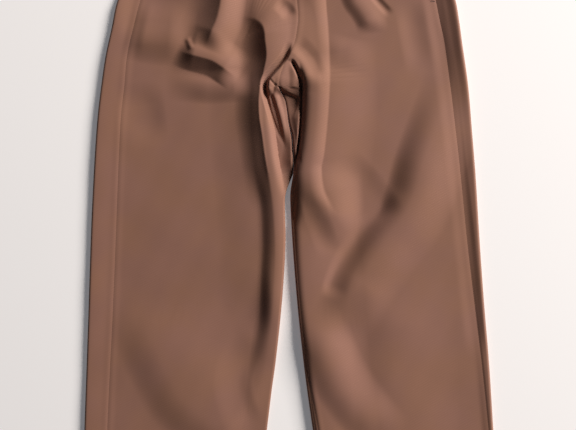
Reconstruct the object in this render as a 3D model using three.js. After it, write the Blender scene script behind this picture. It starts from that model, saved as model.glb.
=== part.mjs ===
// Wide-leg pants laid on their back, front side up.
// Millimetres. +X runs to the viewer's right, +Y towards the waist, +Z up. The origin is the
// middle of the length and of the hem-to-hem width, on the surface that the garment lies on.
// "Right" and "left" in names are the wearer's, so the right leg lies on the -X side.
// "down" is the distance below the top edge of the waistband.
import * as THREE from 'three';

// ---- Driving dimensions ----
const LENGTH = 974;            // waist edge to hem
const HEM_HALF_SPAN = 332;     // middle line to the outer edge of either hem
const CLOTH = 1.5;             // thickness of a panel's wall
const BAND_CLOTH = 2.2;        // thickness of the waistband's doubled wall
const BAND_DEPTH = 38;         // height of the waistband
const SEAM_GAP = 0.3;          // clearance between sewn pieces
const PANEL_TOP = BAND_DEPTH + SEAM_GAP;
const COLOUR = 0x8a6658;
const CROTCH_DOWN = 302.4;     // level where the rise seams and the inseams meet
const FORK_DOWN = 305;         // first level of the back panels' fork between the legs
const ROLL = 4;                // how far in from a leg's edge the rolled cloth turns down
const LEAST_LIFT = 2 * CLOTH + SEAM_GAP + 0.4;  // a front panel pressed onto the back one

const GATHER_PITCH = 23;       // spacing of the soft gathers under the waistband
const GATHER_HEIGHT = 0.9;
const GATHER_FADE = 75;        // how far below the band they die out
const BAND_LIFT = 2 * BAND_CLOTH + SEAM_GAP + 1.6;
const BAND_WAVES = 17;
const BAND_WAVE_HEIGHT = 0.5;

// Outline of the wearer's right leg: edge = outer silhouette, seam = side seam on top.
const RIGHT_SIDE = [
  { down: 0, edge: -182, seam: -166 },
  { down: 40, edge: -203, seam: -183 },
  { down: 90, edge: -243, seam: -214 },
  { down: 162, edge: -275, seam: -239 },
  { down: 210, edge: -285.6, seam: -250.7 },
  { down: 253, edge: -294.9, seam: -260 },
  { down: 299, edge: -301.6, seam: -264.3 },
  { down: 346, edge: -307.2, seam: -269.6 },
  { down: 406, edge: -311.7, seam: -272.8 },
  { down: 514, edge: -317.3, seam: -277.1 },
  { down: 666, edge: -322.4, seam: -283.2 },
  { down: 757, edge: -325.6, seam: -287.8 },
  { down: 850, edge: -328.8, seam: -291.8 },
  { down: 974, edge: -HEM_HALF_SPAN, seam: -296 },
];
const LEFT_SIDE = [
  { down: 0, edge: 190, seam: 176 },
  { down: 40, edge: 205, seam: 186 },
  { down: 90, edge: 238, seam: 212 },
  { down: 162, edge: 262.1, seam: 231.2 },
  { down: 195, edge: 268.2, seam: 238.1 },
  { down: 230, edge: 273, seam: 245.4 },
  { down: 299, edge: 282.6, seam: 254.4 },
  { down: 368, edge: 288.8, seam: 262.1 },
  { down: 435, edge: 294.6, seam: 270.6 },
  { down: 546, edge: 301.6, seam: 281.8 },
  { down: 642, edge: 308.5, seam: 293 },
  { down: 739, edge: 316.5, seam: 304.3 },
  { down: 850, edge: 323.6, seam: 315.5 },
  { down: 974, edge: HEM_HALF_SPAN, seam: 326.5 },
];

// The centre-front seam, from the waistband to the crotch, and the line where the two legs
// meet below it: the back-rise seam, which turns under at the top of the gap (down 454).
const CENTRE = [
  { down: 0, x: 4 },
  { down: 90, x: 8 },
  { down: 162, x: 10.4 },
  { down: 192, x: 12.3 },
  { down: 213, x: 10.4 },
  { down: 234, x: 6 },
  { down: 253, x: -4 },
  { down: 283, x: -15.2 },
  { down: 302.4, x: -19.2 },
];
const MIDDLE = [
  { down: 302.4, x: -17.5 },
  { down: 313, x: -13 },
  { down: 323, x: -8.5 },
  { down: 339, x: -5.6 },
  { down: 360, x: -2.4 },
  { down: 378, x: 1 },
  { down: 400, x: 1 },
  { down: 430, x: -1 },
  { down: 454, x: -3 },
];
// Inner edges of the legs below the gap's top.
const INNER_EDGES = [
  { down: 454, right: -3, left: -3 },
  { down: 467, right: -7, left: -0.6 },
  { down: 482, right: -8.8, left: -0.5 },
  { down: 544, right: -7.8, left: 2.7 },
  { down: 603, right: -10.4, left: 7 },
  { down: 666, right: -15.5, left: 12.5 },
  { down: 739, right: -23.5, left: 20.5 },
  { down: 787, right: -30.1, left: 26.6 },
  { down: 850, right: -37.8, left: 35.7 },
  { down: 974, right: -54, left: 54 },
];
// How far in from the inner edge or middle line each inseam lies, over the top of the leg.
const INSEAMS = [
  { down: 302.4, right: 4.2, left: 4.2 },
  { down: 307, right: 9, left: 11 },
  { down: 313, right: 18, left: 22 },
  { down: 323, right: 26, left: 25 },
  { down: 340, right: 26, left: 21.5 },
  { down: 370, right: 24, left: 14 },
  { down: 389, right: 16.5, left: 9.5 },
  { down: 413, right: 8, left: 7 },
  { down: 454, right: 3, left: 5.5 },
  { down: 500, right: 1.6, left: 2 },
  { down: 700, right: 1.6, left: 2 },
  { down: 760, right: 1.6, left: 4.6 },
  { down: 850, right: 1.6, left: 9 },
  { down: 974, right: 2, left: 9.5 },
];

// How far the cloth on top stands off the surface, away from any fold.
const LOFT = [
  { down: 0, lift: 5.6 },
  { down: 162, lift: 6.4 },
  { down: 300, lift: 7 },
  { down: 450, lift: 6.8 },
  { down: 600, lift: 6.2 },
  { down: 760, lift: 5.6 },
  { down: 974, lift: 4.6 },
];
const EDGE_LIFT = { right: 1.5, left: 3 };   // the rolled sides stand higher than the panels
const EDGE_LIFT_WIDTH = { right: 60, left: 22 };

// Ridges (height over 0) and troughs (under 0) of the cloth on top. "before" and "after" are
// how far each reaches to its -X and +X side, square to its line.
const FOLDS = [
  // right leg: the ridge along the inner leg, and the long trough beside it
  { height: 9, before: 10, after: 15, line: [[-33, 190], [-30, 234], [-34, 274], [-39, 302],
    [-42, 330], [-39, 362], [-34, 394], [-28, 434], [-19, 482], [-17, 542], [-18, 603],
    [-23, 666], [-31, 741], [-46, 850], [-62, 970]] },
  { height: -5, before: 48, after: 13, line: [[-76, 186], [-65, 210], [-56, 238], [-57, 274],
    [-65, 322], [-64, 370], [-57, 426], [-47, 482], [-42, 542], [-43, 603], [-46, 666],
    [-54, 724]] },
  // right leg: folds that fall from the hip and the kink below them
  { height: -4, before: 16, after: 10, line: [[-122, 108], [-124, 162], [-132, 202],
    [-140, 238], [-145, 258]] },
  { height: 5, before: 12, after: 22, line: [[-92, 104], [-95, 162], [-100, 210],
    [-106, 258], [-110, 282]] },
  { height: -3.5, before: 11, after: 11, line: [[-158, 216], [-170, 242], [-178, 260],
    [-172, 272], [-153, 278], [-129, 285], [-100, 290]] },
  { height: 3, before: 10, after: 10, line: [[-146, 224], [-159, 251], [-149, 262],
    [-118, 270]] },
  { height: -2, before: 14, after: 14, line: [[-166, 314], [-120, 315], [-76, 317]] },
  { height: 2, before: 12, after: 12, line: [[-172, 306], [-161, 328], [-140, 350]] },
  { height: -2, before: 22, after: 22, line: [[-228, 200], [-208, 232], [-190, 264]] },
  { height: -2, before: 16, after: 16, line: [[-238, 300], [-234, 345], [-229, 390]] },
  { height: 3, before: 45, after: 45, line: [[-228, 610], [-196, 690], [-161, 778],
    [-134, 850], [-119, 925]] },
  { height: -2.5, before: 34, after: 34, line: [[-230, 700], [-212, 786], [-196, 866],
    [-189, 950]] },
  // left leg: the ridge that falls from the waist beside the centre seam
  { height: 5.5, before: 34, after: 12, line: [[44, 108], [46, 162], [47, 242], [47, 322],
    [42, 402], [39, 458], [50, 501], [68, 546]] },
  { height: -3.5, before: 12, after: 10, line: [[98, 116], [102, 162], [113, 192],
    [115, 234]] },
  { height: -2.5, before: 12, after: 12, line: [[133, 124], [142, 162], [159, 181],
    [176, 192]] },
  { height: -2.5, before: 20, after: 20, line: [[203, 190], [210, 229], [216, 268]] },
  { height: 2.5, before: 14, after: 14, line: [[62, 226], [95, 242], [130, 252]] },
  // left leg: the large slanting trough across the thigh, with the crests beside it
  { height: -6, before: 32, after: 30, line: [[250, 262], [223, 306], [201, 344], [183, 394],
    [174, 450], [150, 494], [121, 546], [95, 587], [74, 650]] },
  { height: 3, before: 24, after: 18, line: [[118, 362], [137, 410], [158, 458]] },
  { height: 3.5, before: 20, after: 14, line: [[82, 442], [106, 472], [132, 503]] },
  { height: -2.5, before: 14, after: 14, line: [[45, 500], [57, 535], [70, 570]] },
  { height: 3.5, before: 40, after: 50, line: [[40, 628], [87, 714], [127, 778], [169, 845],
    [202, 912]] },
  { height: -2, before: 22, after: 22, line: [[58, 750], [76, 802], [92, 866]] },
  // the hollow between the legs, and the valley along the left side seam
  { height: -6, before: 18, after: 17, line: [[-12, 300], [-8, 323], [-3, 358], [1, 385],
    [0, 430], [-3, 466]] },
  { height: -4.5, before: 9, after: 10, line: [[226, 130], [238, 195], [252, 290], [262, 368],
    [276, 490], [292, 640], [304, 740]] },
];
const PRESS_SOFTNESS = 1;      // how gently a trough meets the panel under it
const FOLD_FADE = 0.22;        // share of a fold's line over which each end dies out
const LINE_STEPS = 4;          // straight steps between two points of a fold's line

// ---- Tables and curves ----

function valueAt(table, column, down) {
  // Smooth curve through a table's rows, held level past its two ends.
  const last = table.length - 1;
  if (down <= table[0].down) return table[0][column];
  if (down >= table[last].down) return table[last][column];
  let i = 0;
  while (table[i + 1].down < down) i += 1;
  const slopeAt = (k) => {
    const a = table[Math.max(k - 1, 0)];
    const b = table[Math.min(k + 1, last)];
    return (b[column] - a[column]) / (b.down - a.down);
  };
  const span = table[i + 1].down - table[i].down;
  const t = (down - table[i].down) / span;
  const rise = t * t * (3 - 2 * t);
  return table[i][column] * (1 - rise) + table[i + 1][column] * rise
    + span * t * (1 - t) * ((1 - t) * slopeAt(i) - t * slopeAt(i + 1));
}

function fade(t) {
  const s = Math.min(Math.max(t, 0), 1);
  return s * s * (3 - 2 * s);
}

function roundedLine(points) {
  // A fold's line as short straight steps, each with its share of the whole length.
  const curve = new THREE.CatmullRomCurve3(
    points.map(([x, down]) => new THREE.Vector3(x, down, 0)), false, 'centripetal');
  return curve.getPoints((points.length - 1) * LINE_STEPS);
}

const folds = FOLDS.map((fold) => {
  const points = roundedLine(fold.line);
  const reach = Math.max(fold.before, fold.after);
  const box = new THREE.Box3().setFromPoints(points).expandByScalar(reach);
  return { ...fold, points, box };
});

function foldLift(fold, x, down) {
  if (x < fold.box.min.x || x > fold.box.max.x) return 0;
  if (down < fold.box.min.y || down > fold.box.max.y) return 0;
  let nearest = Infinity;
  let side = 1;
  let share = 0;
  const steps = fold.points.length - 1;
  for (let i = 0; i < steps; i += 1) {
    const a = fold.points[i];
    const b = fold.points[i + 1];
    const run = { x: b.x - a.x, y: b.y - a.y };
    const along = ((x - a.x) * run.x + (down - a.y) * run.y) / (run.x ** 2 + run.y ** 2);
    const t = Math.min(Math.max(along, 0), 1);
    const away = { x: x - a.x - run.x * t, y: down - a.y - run.y * t };
    const distance = Math.hypot(away.x, away.y);
    if (distance < nearest) {
      nearest = distance;
      side = run.y * away.x - run.x * away.y;
      share = (i + t) / steps;
    }
  }
  const reach = side < 0 ? fold.before : fold.after;
  if (nearest >= reach) return 0;
  const profile = (1 - (nearest / reach) ** 2) ** 2;
  return fold.height * profile * fade(share / FOLD_FADE) * fade((1 - share) / FOLD_FADE);
}

function legOf(side) {
  const outer = side === 'right' ? RIGHT_SIDE : LEFT_SIDE;
  const sign = side === 'right' ? 1 : -1;      // from the leg's outer edge towards its inner one
  const inner = (down) => (down < INNER_EDGES[0].down
    ? valueAt(MIDDLE, 'x', down) : valueAt(INNER_EDGES, side, down)) - sign * SEAM_GAP / 2;
  const inseam = (down) => valueAt(INSEAMS, side, down);
  return {
    side,
    sign,
    edge: (down) => valueAt(outer, 'edge', down),
    seam: (down) => valueAt(outer, 'seam', down),
    inner,
    inseam,
    inseamLine: (down) => inner(down) - sign * runOf(inseam(down)),
  };
}
const centreSeam = (down) => valueAt(CENTRE, 'x', down);
const legs = { right: legOf('right'), left: legOf('left') };

function topLift(x, down) {
  // Height of the upper cloth's outer face at any place inside the silhouette.
  let lift = valueAt(LOFT, 'lift', down);
  for (const leg of Object.values(legs)) {
    const inside = Math.abs(x - leg.edge(down)) / EDGE_LIFT_WIDTH[leg.side];
    lift += EDGE_LIFT[leg.side] * (1 - fade(inside));
  }
  for (const fold of folds) lift += foldLift(fold, x, down);
  const gather = Math.cos(x * 2 * Math.PI / GATHER_PITCH);
  lift += GATHER_HEIGHT * gather * (1 - fade((down - BAND_DEPTH) / GATHER_FADE));
  const spare = lift - LEAST_LIFT;
  return LEAST_LIFT + (spare + Math.hypot(spare, PRESS_SOFTNESS)) / 2;
}

// ---- A leg's section ----
// A place on the section is its way along the cloth: "run" is measured from the rolled edge,
// over the top, and "under" tells the lower half of the roll from the upper one.

const ROLL_RUN = ROLL * Math.PI / 2;

function rolled(run) {
  // Distance in from the edge, and the share of the full height, at a run from the edge.
  if (run >= ROLL_RUN) return { inset: ROLL + run - ROLL_RUN, share: 1 };
  const angle = run / ROLL_RUN * Math.PI / 2;
  return { inset: ROLL * (1 - Math.cos(angle)), share: Math.sin(angle) };
}

function runOf(inset) {
  return inset >= ROLL ? ROLL_RUN + inset - ROLL : ROLL * Math.acos(1 - inset / ROLL);
}

function placeOn(edgeAt, sign, run, down) {
  // A point of the outer face beside an edge: run over 0 is on top, under 0 is underneath.
  const edge = edgeAt(down);
  const { inset, share } = rolled(Math.abs(run));
  const full = topLift(edge + sign * Math.max(run > 0 ? inset : 0, ROLL), down);
  const height = full * (0.5 + 0.5 * Math.sign(run) * share);
  return new THREE.Vector3(edge + sign * inset, LENGTH / 2 - down, height);
}

const PROBE = 0.4;             // step used to feel the direction of the surface

function clothAt(edgeAt, sign, run, down) {
  // The outer point with the direction that its wall's thickness is measured in.
  const across = placeOn(edgeAt, sign, run + PROBE, down)
    .sub(placeOn(edgeAt, sign, run - PROBE, down));
  const along = placeOn(edgeAt, sign, run, down + PROBE)
    .sub(placeOn(edgeAt, sign, run, down - PROBE));
  const normal = along.cross(across).multiplyScalar(sign);
  const isCutEnd = down <= PANEL_TOP || down >= LENGTH;
  if (isCutEnd) normal.y = 0;
  return { point: placeOn(edgeAt, sign, run, down), normal: normal.normalize() };
}

function halfGap(lineAt, down) {
  // Half a seam's clearance, measured across, wider where the seam runs slantwise.
  const slope = (lineAt(down + PROBE) - lineAt(down - PROBE)) / (2 * PROBE);
  return SEAM_GAP / 2 * Math.hypot(1, slope);
}

function inseamGap(leg, down) {
  // Cut walls that stand on the roll lean together inside it, so their clearance is wider.
  const onRoll = leg.inseam(down) < ROLL ? ROLL / (ROLL - CLOTH) : 1;
  return halfGap(leg.inseamLine, down) * onRoll;
}

// ---- Walls ----

function wallOf(name, rows, thickness, closedRound = false) {
  // rows[i][j] is a place of the outer face, or null where the piece has no cloth. The outer
  // face shows its front with rows going down and columns going to the right.
  const columns = rows[0].length;
  const span = closedRound ? columns : columns - 1;
  const positions = [];
  const vertexOf = new Map();
  const vertex = (i, j, isInner) => {
    const key = `${i},${j % columns},${isInner}`;
    if (!vertexOf.has(key)) {
      const { point, normal } = rows[i][j % columns];
      const place = point.clone().addScaledVector(normal, isInner ? -thickness : 0);
      vertexOf.set(key, positions.length / 3);
      positions.push(place.x, place.y, place.z);
    }
    return vertexOf.get(key);
  };
  const faces = [];
  const rims = new Map();
  const addQuad = ([a, b, c, d]) => faces.push(a, b, c, a, c, d);
  for (let i = 0; i < rows.length - 1; i += 1) {
    for (let j = 0; j < span; j += 1) {
      const corners = [[i, j], [i + 1, j], [i + 1, j + 1], [i, j + 1]];
      if (corners.every(([r, c]) => rows[r][c % columns])) {
        addQuad(corners.map(([r, c]) => vertex(r, c, false)));
        addQuad(corners.map(([r, c]) => vertex(r, c, true)).reverse());
        corners.forEach((corner, k) => {
          const next = corners[(k + 1) % corners.length];
          const from = vertex(...corner, false);
          const to = vertex(...next, false);
          if (!rims.delete(`${to},${from}`)) {
            rims.set(`${from},${to}`, [to, from, vertex(...corner, true), vertex(...next, true)]);
          }
        });
      }
    }
  }
  for (const rim of rims.values()) addQuad(rim);
  const geometry = new THREE.BufferGeometry();
  geometry.setAttribute('position', new THREE.Float32BufferAttribute(positions, 3));
  geometry.setIndex(faces);
  geometry.computeVertexNormals();
  const material = new THREE.MeshStandardMaterial({ color: COLOUR, roughness: 0.85, metalness: 0 });
  const mesh = new THREE.Mesh(geometry, material);
  mesh.name = name;
  return mesh;
}

function spread(from, to, count, bias = 0) {
  // count + 1 places from one end to the other; bias crowds them towards the far end.
  return Array.from({ length: count + 1 }, (_, k) => {
    const t = k / count;
    return from + (to - from) * (t + bias * t * (1 - t));
  });
}

// ---- Rows: close together where the folds are, wider apart down the legs ----
const ROW_LEVELS = [
  ...spread(PANEL_TOP, 174, 6),
  ...spread(190, 290, 7),
  CROTCH_DOWN, FORK_DOWN, 310, 317, 326,
  ...spread(341, 454, 7),
  ...spread(472, 640, 6),
  ...spread(672, LENGTH, 7),
];

// ---- Front panels ----
const FRONT_COLUMNS = 22;
const FRONT_BIAS = 0.42;
const ROLL_COLUMNS = 2;
const TURN_REACH = 3;          // least run over which the front panel turns down to the inseam

function frontPanel(name, leg) {
  const rows = ROW_LEVELS.map((down) => {
    const edge = leg.edge(down);
    const start = runOf(Math.abs(leg.seam(down) - edge)) + halfGap(leg.seam, down);
    if (down <= CROTCH_DOWN) {
      const centre = centreSeam(down) - leg.sign * halfGap(centreSeam, down);
      const end = runOf(Math.abs(centre - edge));
      return spread(start, end, FRONT_COLUMNS + ROLL_COLUMNS, FRONT_BIAS)
        .map((run) => clothAt(leg.edge, leg.sign, run, down));
    }
    const whole = Math.abs(leg.inner(down) - edge) - 2 * ROLL + 2 * ROLL_RUN;
    const inseam = runOf(leg.inseam(down)) + inseamGap(leg, down);
    const onRoll = Math.max(ROLL_RUN, inseam + TURN_REACH);
    const flat = spread(start, whole - onRoll, FRONT_COLUMNS, FRONT_BIAS)
      .map((run) => (run < whole / 2 ? clothAt(leg.edge, leg.sign, run, down)
        : clothAt(leg.inner, -leg.sign, whole - run, down)));
    const turned = spread(onRoll, inseam, ROLL_COLUMNS).slice(1)
      .map((run) => clothAt(leg.inner, -leg.sign, run, down));
    return [...flat, ...turned];
  });
  return wallOf(name, leg.sign > 0 ? rows : rows.map((row) => row.reverse()), CLOTH);
}

// ---- Back panels: from the side seam over the rolled edge, across underneath, and below the
// crotch up over the inner edge to the inseam ----
const STRIP_COLUMNS = 2;
const STRIP_END = ROLL_RUN * 0.8;   // where the side strip ends and the roll begins
const UNDER_COLUMNS = 5;
const FORK_COLUMNS = 3;

function backPanel(name, leg) {
  const rows = ROW_LEVELS.map((down) => {
    const seamRun = runOf(Math.abs(leg.seam(down) - leg.edge(down))) - halfGap(leg.seam, down);
    const strip = spread(seamRun, STRIP_END, STRIP_COLUMNS);
    const outerRoll = [
      ...spread(STRIP_END, 0, ROLL_COLUMNS).slice(1),
      ...spread(0, -ROLL_RUN, ROLL_COLUMNS).slice(1),
    ];
    const hasFork = down >= FORK_DOWN;
    const inner = hasFork ? leg.inner(down)
      : centreSeam(down) - leg.sign * halfGap(centreSeam, down);
    const width = Math.abs(inner - leg.edge(down)) - (hasFork ? ROLL : 0);
    const under = spread(-ROLL_RUN, -runOf(width), UNDER_COLUMNS).slice(1);
    const side = [...strip, ...outerRoll, ...under]
      .map((run) => clothAt(leg.edge, leg.sign, run, down));
    const inseamRun = runOf(leg.inseam(down)) - inseamGap(leg, down);
    const innerRoll = spread(-ROLL_RUN, 0, ROLL_COLUMNS).slice(1);
    const fork = [...innerRoll, ...spread(0, inseamRun, FORK_COLUMNS).slice(1)]
      .map((run) => (hasFork ? clothAt(leg.inner, -leg.sign, run, down) : null));
    return [...side, ...fork];
  });
  return wallOf(name, leg.sign > 0 ? rows.map((row) => row.reverse()) : rows, CLOTH);
}

// ---- Waistband: a flattened ring, its back half flat on the surface ----
const BAND_COLUMNS = 51;
const BAND_TURN_COLUMNS = 5;
const BAND_BACK_COLUMNS = 8;
const BAND_RIM = 2;            // how far in from either edge the band reaches its full lift

function waistband() {
  const radius = BAND_LIFT / 2;
  const levels = [0, BAND_RIM, BAND_DEPTH - BAND_RIM, BAND_DEPTH];
  const rows = levels.map((down) => {
    const y = LENGTH / 2 - down;
    const from = legs.right.edge(down) + radius;
    const to = legs.left.edge(down) - radius;
    const isRim = down === 0 || down === BAND_DEPTH;
    const place = (x, z, turn) => ({
      point: new THREE.Vector3(x, y, z),
      normal: new THREE.Vector3(Math.sin(turn), 0, Math.cos(turn)),
    });
    const front = spread(0, 1, BAND_COLUMNS).map((t) => {
      const dip = (1 - Math.cos(t * BAND_WAVES * 2 * Math.PI)) * Math.sin(t * Math.PI) ** 0.5;
      return place(from + (to - from) * t, BAND_LIFT - BAND_WAVE_HEIGHT * dip - (isRim ? 0.3 : 0), 0);
    });
    const turned = (x, start) => spread(start, start + Math.PI, BAND_TURN_COLUMNS).slice(1, -1)
      .map((turn) => place(x + radius * Math.sin(turn), radius + radius * Math.cos(turn), turn));
    const back = spread(to, from, BAND_BACK_COLUMNS).map((x) => place(x, 0, Math.PI));
    return [...front, ...turned(to, 0), ...back, ...turned(from, Math.PI)];
  });
  return wallOf('waistband', rows, BAND_CLOTH, true);
}

const group = new THREE.Group();
group.add(
  frontPanel('right_front', legs.right),
  frontPanel('left_front', legs.left),
  backPanel('right_back', legs.right),
  backPanel('left_back', legs.left),
  waistband(),
);

export default group;
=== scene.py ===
"""Wide-leg pants laid on their back, front side up, on a pale floor.

The shape is written in millimetres: x runs to the viewer's right, "down" is the distance
below the top edge of the waistband, and lift is the height above the floor. "Right" and
"left" are the wearer's, so the right leg lies on the -x side.
"""

import math

import bpy
import numpy as np
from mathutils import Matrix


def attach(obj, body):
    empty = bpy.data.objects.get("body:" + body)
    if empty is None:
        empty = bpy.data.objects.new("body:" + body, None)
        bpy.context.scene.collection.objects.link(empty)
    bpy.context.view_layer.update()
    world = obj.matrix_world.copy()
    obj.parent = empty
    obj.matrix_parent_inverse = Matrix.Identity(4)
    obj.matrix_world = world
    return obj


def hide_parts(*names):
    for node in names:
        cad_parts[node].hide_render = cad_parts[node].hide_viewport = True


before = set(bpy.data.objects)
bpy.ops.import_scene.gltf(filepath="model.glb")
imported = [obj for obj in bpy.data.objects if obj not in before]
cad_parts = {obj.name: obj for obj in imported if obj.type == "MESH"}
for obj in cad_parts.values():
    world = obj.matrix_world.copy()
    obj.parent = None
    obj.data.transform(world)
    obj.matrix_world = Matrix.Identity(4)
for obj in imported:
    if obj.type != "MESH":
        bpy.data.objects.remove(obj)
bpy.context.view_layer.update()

# ---- Sizes, in millimetres ----
MM = 0.001
LENGTH = 974.0
CLOTH = 1.0                 # thickness of the cloth
SEAM_GAP = 0.12             # between two sewn edges
BAND_DEPTH = 38.0
PANEL_TOP = BAND_DEPTH + 0.3
CROTCH_DOWN = 302.4
ROLL = 4.0                  # how far in from a leg's edge the cloth turns down
LEAST_LIFT = 2.9            # a front panel pressed onto the back one
PRESS_SOFTNESS = 1.0
GATHER_PITCH = 15.0
GATHER_HEIGHT = 1.0
GATHER_FADE = 85.0          # about how far below the band the longest gathers reach
BAND_LIFT = 6.2
BAND_CLOTH = 1.6

# Outer silhouette and side seam of each leg.
RIGHT_SIDE = {
    "down": (0, 40, 90, 162, 210, 253, 299, 346, 406, 514, 666, 757, 850, 974),
    "edge": (-182, -203, -243, -275, -285.6, -294.9, -301.6, -307.2, -311.7, -317.3, -322.4,
             -325.6, -328.8, -332),
    "seam": (-166, -183, -214, -239, -250.7, -260, -264.3, -269.6, -272.8, -277.1, -283.2,
             -287.8, -291.8, -296),
}
LEFT_SIDE = {
    "down": (0, 40, 90, 162, 195, 230, 299, 368, 435, 546, 642, 739, 850, 974),
    "edge": (190, 205, 238, 262.1, 268.2, 273, 282.6, 288.8, 294.6, 301.6, 308.5, 316.5,
             323.6, 332),
    "seam": (176, 186, 212, 231.2, 238.1, 245.4, 254.4, 262.1, 270.6, 281.8, 293, 304.3,
             315.5, 326.5),
}
# Centre-front seam down to the crotch, then the back-rise seam to the top of the gap.
CENTRE = {
    "down": (0, 90, 162, 192, 213, 234, 253, 283, 302.4),
    "x": (4, 8, 10.4, 12.3, 10.4, 6, -4, -15.2, -19.2),
}
MIDDLE = {
    "down": (302.4, 313, 323, 339, 360, 378, 400, 425, 441),
    "x": (-17.5, -13, -8.5, -5.6, -2.4, 2, 4, 4.5, 4),
}
INNER_EDGES = {
    "down": (441, 454, 467, 482, 544, 603, 666, 739, 787, 850, 974),
    "right": (3.8, -1.5, -6.4, -8.8, -7.8, -10.4, -15.5, -23.5, -30.1, -37.8, -54),
    "left": (4.2, 2, 0, -0.5, 2.7, 7, 12.5, 20.5, 26.6, 35.7, 54),
}
# How far in from the inner edge each inseam lies, over the top of the leg.
INSEAMS = {
    "down": (302.4, 307, 313, 323, 340, 370, 389, 413, 441, 500, 700, 760, 850, 974),
    "right": (4.2, 9, 18, 26, 24, 20, 14, 8, 3, 1.6, 1.6, 1.6, 1.6, 2),
    "left": (4.2, 11, 22, 25, 21.5, 14, 9.5, 7, 5.5, 2, 2, 4.6, 9, 9.5),
}
LOFT = {
    "down": (0, 162, 300, 450, 600, 760, 974),
    "lift": (5.4, 5.8, 6.0, 5.6, 5.2, 5.0, 4.2),
}
# The rolled sides stand higher than the panels, and sink to them over this width.
EDGE_LIFT = {"right": 2.8, "left": 2.8}
EDGE_LIFT_WIDTH = {"right": 50.0, "left": 20.0}
GAP_TOP = INNER_EDGES["down"][0]    # where the gap between the legs begins
LEFT_INSEAM_SHOWS = 740.0           # below it the left inseam lies on top of the leg


SHARP, ROUND, BROAD, FLAT = 1.0, 2.0, 3.0, 5.0     # how a fold's crest turns
CRISP, SOFT = 1.0, 2.0                             # how its foot runs out


def fold(height, before, after, line, fade_in=30.0, fade_out=30.0,
         before_shape=(ROUND, SOFT), after_shape=(ROUND, SOFT), spread=(1.0, 1.0)):
    """A ridge (height over 0) or trough (under 0) of the cloth.

    before and after are its reach to the -x and +x side, square to its line; a line that runs
    to +x has its before side below it. fade_in and fade_out are the lengths over which its
    ends die out, each shape says how crest and foot turn on that side, and spread widens or
    narrows both reaches from the line's first end to its last.
    """
    return {"height": height, "before": before, "after": after, "line": line,
            "fade_in": fade_in, "fade_out": fade_out, "spread": spread,
            "before_shape": before_shape, "after_shape": after_shape}


def crease(level, *place):
    """Draws the cloth to a level of its own along a line, whatever lies there."""
    return {**fold(0, *place), "level": level}


RIGHT_LEG_FOLDS = [
    # the ridge along the inner leg: above the crotch, beside it, then near the leg's own edge
    fold(16.0, 40, 84, [(-84, 190), (-68, 192), (-54, 197), (-43, 210), (-40, 232), (-38, 256),
                        (-43, 282), (-48, 306), (-50, 326)], 60, 45, (SHARP, SOFT)),
    fold(16.0, 40, 21, [(-43, 282), (-48, 306), (-50, 326), (-49, 352), (-45, 378), (-40, 415),
                        (-33, 455), (-28, 490)], 45, 76, (SHARP, SOFT), (FLAT, CRISP)),
    fold(8.0, 23, 42, [(-40, 415), (-32, 455), (-26, 490), (-23, 550), (-25, 603), (-28, 666),
                       (-34, 710), (-39, 752)], 76, 130),
    fold(3.5, 28, 42, [(-40, 415), (-32, 455), (-26, 490), (-23, 550), (-25, 603), (-28, 666),
                       (-35, 710), (-44, 790), (-54, 870)], 76, 180),
    # the edge of the pocket opening
    fold(1.4, 2, 8, [(-181, 45), (-207, 80), (-225, 120), (-234, 150), (-236, 157)], 10, 3,
         (SHARP, CRISP)),
    fold(3.0, 70, 20, [(-60, 250), (-62, 350), (-54, 450), (-46, 560), (-50, 680)], 70, 90),
    # the fold that falls from the waist and its broad foot
    fold(15.0, 54, 40, [(-103, 70), (-107, 114), (-109, 162), (-115, 194), (-125, 218),
                        (-136, 244)], 60, 32, (SHARP, SOFT)),
    fold(4.0, 100, 50, [(-106, 70), (-110, 114), (-113, 162), (-118, 202), (-124, 240), (-128, 274)],
         60, 50),
    # the kink at its lower end, whose face drops below it like the side of a boot
    fold(12.0, 24, 44, [(-180, 242), (-162, 251), (-144, 256), (-124, 262), (-105, 274),
                        (-83, 290)], 30, 30, (SHARP, CRISP)),
    fold(1.8, 6, 6, [(-165, 222), (-160, 234), (-155, 246)], 8, 8),
    fold(7.0, 52, 60, [(-262, 206), (-236, 212), (-205, 217), (-150, 222)], 34, 44),
    fold(-3.4, 40, 84, [(-240, 60), (-238, 130), (-238, 180), (-240, 236)], 40, 40),
    fold(4.6, 30, 26, [(-200, 294), (-160, 298), (-120, 300), (-62, 296)], 70, 30),
    fold(-2.4, 46, 36, [(-238, 292), (-234, 340), (-226, 400)], 40, 50),
    # the broad ridge that slants down the lower leg, and the soft trough that ends it
    fold(5.6, 62, 130, [(-240, 640), (-229, 678), (-213, 716), (-191, 762), (-162, 806),
                        (-106, 850), (-66, 874)], 100, 50),
    fold(-2.2, 40, 24, [(-56, 700), (-84, 762), (-76, 812), (-58, 850)], 50, 40),
]
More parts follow.
